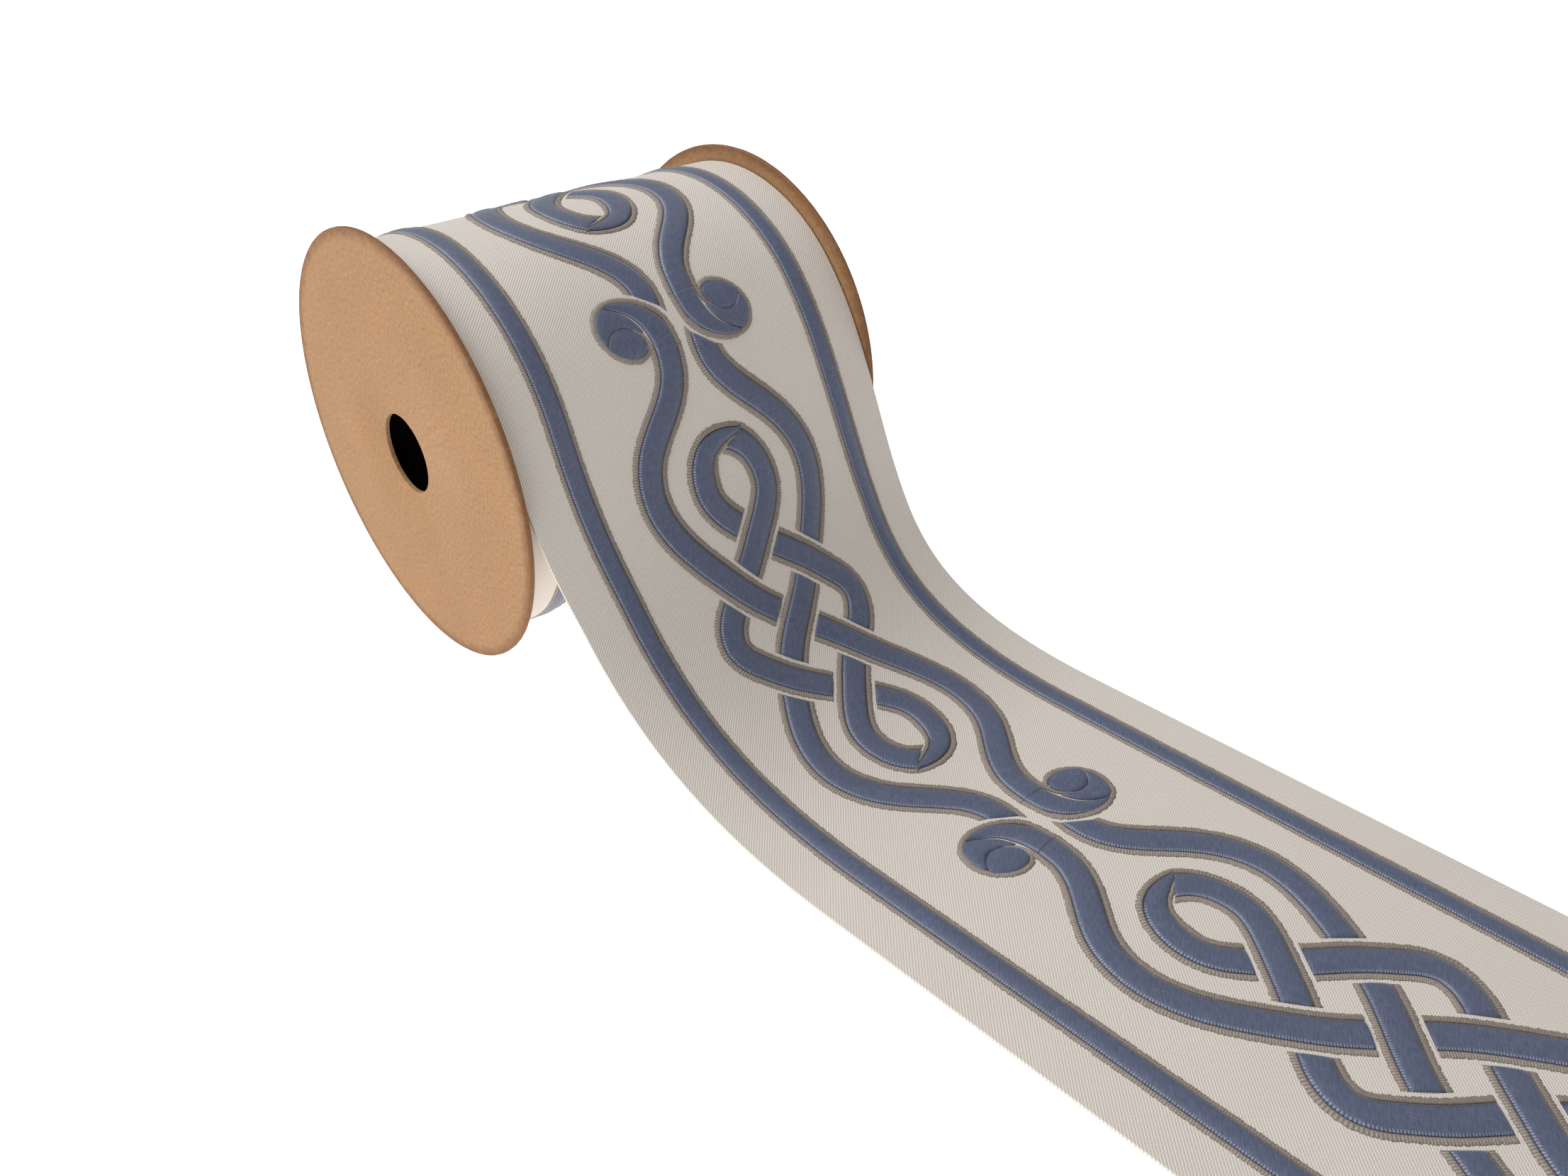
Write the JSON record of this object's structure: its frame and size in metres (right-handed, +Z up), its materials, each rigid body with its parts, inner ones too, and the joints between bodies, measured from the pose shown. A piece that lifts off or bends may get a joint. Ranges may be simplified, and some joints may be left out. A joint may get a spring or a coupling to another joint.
{
  "type": "embroidered tape trim on board spool",
  "caption": "Wide woven tape embroidered with interlaced strapwork, wound between round board discs, its loose end falling to the table and lying flat.",
  "frame": {"origin": "on the table, below the middle of the whole part's box", "axes": "+Z up, X along the spool's axis with the disc nearer the picture's camera at -X, the loose end runs toward -Y"},
  "size_m": [0.117, 0.3324, 0.1038],
  "materials": {
    "board": "matte",
    "tape_ground": "matte",
    "slate_satin": "satin",
    "taupe_cord": "matte"
  },
  "bodies": {
    "root": {"flange_left": "board", "flange_right": "board", "wound_roll": "tape_ground", "tape_run": "tape_ground"}
  },
  "joints": []
}
